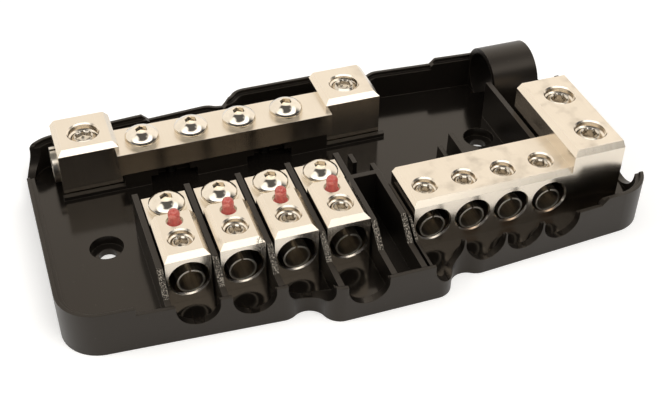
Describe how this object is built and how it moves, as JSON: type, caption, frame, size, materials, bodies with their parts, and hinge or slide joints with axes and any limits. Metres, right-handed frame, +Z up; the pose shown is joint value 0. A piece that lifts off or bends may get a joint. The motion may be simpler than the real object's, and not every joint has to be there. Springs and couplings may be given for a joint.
{
  "type": "power distribution block",
  "caption": "Fused power distribution block: supply rail, output terminals with lamps and a ground block in an open tray with cable notches.",
  "frame": {"origin": "bottom centre of the tray, on the panel it stands on", "axes": "+X along the tray to the ground end, +Y from the cable notches to the supply rail, +Z up"},
  "size_m": [0.157, 0.0866, 0.0245],
  "materials": {
    "tray_plastic": "moulded black ABS, glossy inside",
    "plated_bar": "machined, satin nickel-plated brass",
    "lamp_lens": "red tinted epoxy lamp body",
    "screw_steel": "polished nickel-plated steel",
    "sleeve_metal": "nickel-plated rolled brass",
    "fixing_steel": "zinc-plated steel"
  },
  "bodies": {
    "block": {"tray": "tray_plastic", "supply_bar": "plated_bar", "terminal_1": "plated_bar", "terminal_2": "plated_bar", "terminal_3": "plated_bar", "terminal_4": "plated_bar", "ground_block": "plated_bar", "lamp_1": "lamp_lens", "lamp_2": "lamp_lens", "lamp_3": "lamp_lens", "lamp_4": "lamp_lens", "output_washers": "screw_steel", "rail_washers": "screw_steel", "output_sleeve_1": "sleeve_metal", "output_sleeve_2": "sleeve_metal", "output_sleeve_3": "sleeve_metal", "output_sleeve_4": "sleeve_metal", "ground_sleeve_1": "sleeve_metal", "ground_sleeve_2": "sleeve_metal", "ground_sleeve_3": "sleeve_metal", "ground_sleeve_4": "sleeve_metal", "supply_sleeve": "sleeve_metal", "terminal_fixings": "fixing_steel", "ground_fixings": "fixing_steel", "rail_fixings": "fixing_steel"},
    "output_set_screw_1_body": {"output_set_screw_1": "screw_steel"},
    "output_set_screw_2_body": {"output_set_screw_2": "screw_steel"},
    "output_set_screw_3_body": {"output_set_screw_3": "screw_steel"},
    "output_set_screw_4_body": {"output_set_screw_4": "screw_steel"},
    "ground_set_screw_1_body": {"ground_set_screw_1": "screw_steel"},
    "ground_set_screw_2_body": {"ground_set_screw_2": "screw_steel"},
    "ground_set_screw_3_body": {"ground_set_screw_3": "screw_steel"},
    "ground_set_screw_4_body": {"ground_set_screw_4": "screw_steel"},
    "supply_set_screw_1_body": {"supply_set_screw_1": "screw_steel"},
    "supply_set_screw_2_body": {"supply_set_screw_2": "screw_steel"},
    "arm_set_screw_1_body": {"arm_set_screw_1": "screw_steel"},
    "arm_set_screw_2_body": {"arm_set_screw_2": "screw_steel"},
    "rail_fuse_screw_1_body": {"rail_fuse_screw_1": "screw_steel"},
    "rail_fuse_screw_2_body": {"rail_fuse_screw_2": "screw_steel"},
    "rail_fuse_screw_3_body": {"rail_fuse_screw_3": "screw_steel"},
    "rail_fuse_screw_4_body": {"rail_fuse_screw_4": "screw_steel"},
    "output_fuse_screw_1_body": {"output_fuse_screw_1": "screw_steel"},
    "output_fuse_screw_2_body": {"output_fuse_screw_2": "screw_steel"},
    "output_fuse_screw_3_body": {"output_fuse_screw_3": "screw_steel"},
    "output_fuse_screw_4_body": {"output_fuse_screw_4": "screw_steel"}
  },
  "joints": [
    {"name": "output_set_screw_1_travel", "type": "slide", "parent": "block", "child": "output_set_screw_1_body", "axis": [0, 0, 1], "range_m": [0, 0.005]},
    {"name": "output_set_screw_2_travel", "type": "slide", "parent": "block", "child": "output_set_screw_2_body", "axis": [0, 0, 1], "range_m": [0, 0.005]},
    {"name": "output_set_screw_3_travel", "type": "slide", "parent": "block", "child": "output_set_screw_3_body", "axis": [0, 0, 1], "range_m": [0, 0.005]},
    {"name": "output_set_screw_4_travel", "type": "slide", "parent": "block", "child": "output_set_screw_4_body", "axis": [0, 0, 1], "range_m": [0, 0.005]},
    {"name": "ground_set_screw_1_travel", "type": "slide", "parent": "block", "child": "ground_set_screw_1_body", "axis": [0, 0, 1], "range_m": [0, 0.005]},
    {"name": "ground_set_screw_2_travel", "type": "slide", "parent": "block", "child": "ground_set_screw_2_body", "axis": [0, 0, 1], "range_m": [0, 0.005]},
    {"name": "ground_set_screw_3_travel", "type": "slide", "parent": "block", "child": "ground_set_screw_3_body", "axis": [0, 0, 1], "range_m": [0, 0.005]},
    {"name": "ground_set_screw_4_travel", "type": "slide", "parent": "block", "child": "ground_set_screw_4_body", "axis": [0, 0, 1], "range_m": [0, 0.005]},
    {"name": "supply_set_screw_1_travel", "type": "slide", "parent": "block", "child": "supply_set_screw_1_body", "axis": [0, 0, 1], "range_m": [0, 0.005]},
    {"name": "supply_set_screw_2_travel", "type": "slide", "parent": "block", "child": "supply_set_screw_2_body", "axis": [0, 0, 1], "range_m": [0, 0.005]},
    {"name": "arm_set_screw_1_travel", "type": "slide", "parent": "block", "child": "arm_set_screw_1_body", "axis": [0, 0, 1], "range_m": [0, 0.005]},
    {"name": "arm_set_screw_2_travel", "type": "slide", "parent": "block", "child": "arm_set_screw_2_body", "axis": [0, 0, 1], "range_m": [0, 0.005]},
    {"name": "rail_fuse_screw_1_travel", "type": "slide", "parent": "block", "child": "rail_fuse_screw_1_body", "axis": [0, 0, 1], "range_m": [0, 0.0072]},
    {"name": "rail_fuse_screw_2_travel", "type": "slide", "parent": "block", "child": "rail_fuse_screw_2_body", "axis": [0, 0, 1], "range_m": [0, 0.0072]},
    {"name": "rail_fuse_screw_3_travel", "type": "slide", "parent": "block", "child": "rail_fuse_screw_3_body", "axis": [0, 0, 1], "range_m": [0, 0.0072]},
    {"name": "rail_fuse_screw_4_travel", "type": "slide", "parent": "block", "child": "rail_fuse_screw_4_body", "axis": [0, 0, 1], "range_m": [0, 0.0072]},
    {"name": "output_fuse_screw_1_travel", "type": "slide", "parent": "block", "child": "output_fuse_screw_1_body", "axis": [0, 0, 1], "range_m": [0, 0.0072]},
    {"name": "output_fuse_screw_2_travel", "type": "slide", "parent": "block", "child": "output_fuse_screw_2_body", "axis": [0, 0, 1], "range_m": [0, 0.0072]},
    {"name": "output_fuse_screw_3_travel", "type": "slide", "parent": "block", "child": "output_fuse_screw_3_body", "axis": [0, 0, 1], "range_m": [0, 0.0072]},
    {"name": "output_fuse_screw_4_travel", "type": "slide", "parent": "block", "child": "output_fuse_screw_4_body", "axis": [0, 0, 1], "range_m": [0, 0.0072]}
  ]
}
